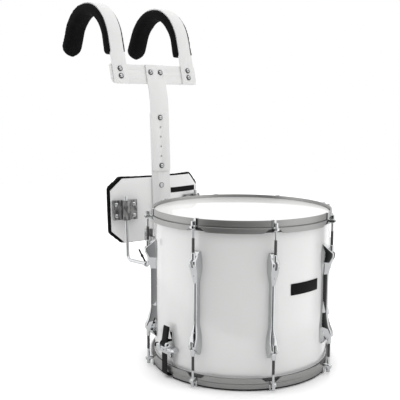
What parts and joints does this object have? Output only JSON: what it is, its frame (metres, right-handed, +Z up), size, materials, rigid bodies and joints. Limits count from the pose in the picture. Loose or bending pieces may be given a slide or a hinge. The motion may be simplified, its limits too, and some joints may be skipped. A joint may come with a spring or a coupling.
{
  "type": "marching snare drum",
  "caption": "Upright marching snare drum with long lugs and deep hoops, hung by bent rods from a shoulder carrier with padded hooks and a padded belly plate.",
  "frame": {"origin": "on the floor under the middle of the outer box, with the drum standing on its bottom claws", "axes": "+Z up along the drum's axis, -Y towards the drum's front, +Y towards the player, and the throw-off on the -X side"},
  "size_m": [0.3886, 0.7474, 0.7632],
  "materials": {
    "white_shell": "gloss",
    "drum_film": "satin",
    "grey_hoop": "satin",
    "chrome": "polished",
    "black_metal": "satin",
    "black_plastic": "satin",
    "white_coat": "satin",
    "foam": "matte",
    "steel": "satin"
  },
  "bodies": {
    "drum": {"shell": "white_shell", "batter_head": "drum_film", "snare_head": "drum_film", "top_hoop": "grey_hoop", "bottom_hoop": "grey_hoop", "lug_1": "chrome", "lug_2": "chrome", "lug_3": "chrome", "lug_4": "chrome", "lug_5": "chrome", "lug_6": "chrome", "lug_7": "chrome", "lug_8": "chrome", "top_rod_1": "chrome", "top_rod_2": "chrome", "top_rod_3": "chrome", "top_rod_4": "chrome", "top_rod_5": "chrome", "top_rod_6": "chrome", "top_rod_7": "chrome", "top_rod_8": "chrome", "bottom_rod_1": "chrome", "bottom_rod_2": "chrome", "bottom_rod_3": "chrome", "bottom_rod_4": "chrome", "bottom_rod_5": "chrome", "bottom_rod_6": "chrome", "bottom_rod_7": "chrome", "bottom_rod_8": "chrome", "badge": "black_metal", "strainer_body": "chrome", "butt_plate": "chrome", "snare_wires": "steel", "receiver_right": "chrome", "receiver_left": "chrome"},
    "strainer_lever": {"strainer_lever": "black_plastic"},
    "strainer_knob": {"strainer_knob": "black_plastic"},
    "j_rods": {"j_rod_right": "chrome", "j_rod_left": "chrome"},
    "latch_right": {"latch_right": "black_metal"},
    "latch_left": {"latch_left": "black_metal"},
    "carrier": {"rod_clamp_right": "chrome", "rod_clamp_left": "chrome", "upper_stem": "white_coat", "lower_stem": "white_coat", "belly_plate": "white_coat", "belly_pad": "foam", "crossbar": "white_coat", "hook_bolt_right_upper": "steel", "hook_bolt_right_lower": "steel", "hook_bolt_left_upper": "steel", "hook_bolt_left_lower": "steel", "centre_bolt_right": "steel", "centre_bolt_left": "steel", "stem_bolt_upper": "steel", "stem_bolt_lower": "steel", "shoulder_strap_right": "white_coat", "shoulder_strap_left": "white_coat", "shoulder_pad_right": "foam", "shoulder_pad_left": "foam"}
  },
  "joints": [
    {"name": "strainer_throw", "type": "hinge", "parent": "drum", "child": "strainer_lever", "pos_m": [-0.189, -0.185, 0.0685], "axis": [0, -1, 0], "range_deg": [0, 90]},
    {"name": "strainer_tension", "type": "hinge", "parent": "drum", "child": "strainer_knob", "pos_m": [-0.1845, -0.1607, 0.0575], "axis": [0, 1, 0], "continuous": true},
    {"name": "drum_lift_off", "type": "slide", "parent": "drum", "child": "j_rods", "axis": [0, 0, -1], "range_m": [0, 0.03]},
    {"name": "carrier_height", "type": "slide", "parent": "j_rods", "child": "carrier", "axis": [0, 0.0499, 0.9988], "range_m": [-0.065, 0.02]},
    {"name": "latch_turn_right", "type": "hinge", "parent": "j_rods", "child": "latch_right", "pos_m": [0.1041, 0.0187, 0.17491], "axis": [0, 0.9983, -0.0575], "range_deg": [0, 90]},
    {"name": "latch_turn_left", "type": "hinge", "parent": "j_rods", "child": "latch_left", "pos_m": [-0.0959, 0.0187, 0.17491], "axis": [0, -0.9983, 0.0575], "range_deg": [0, 90]}
  ]
}
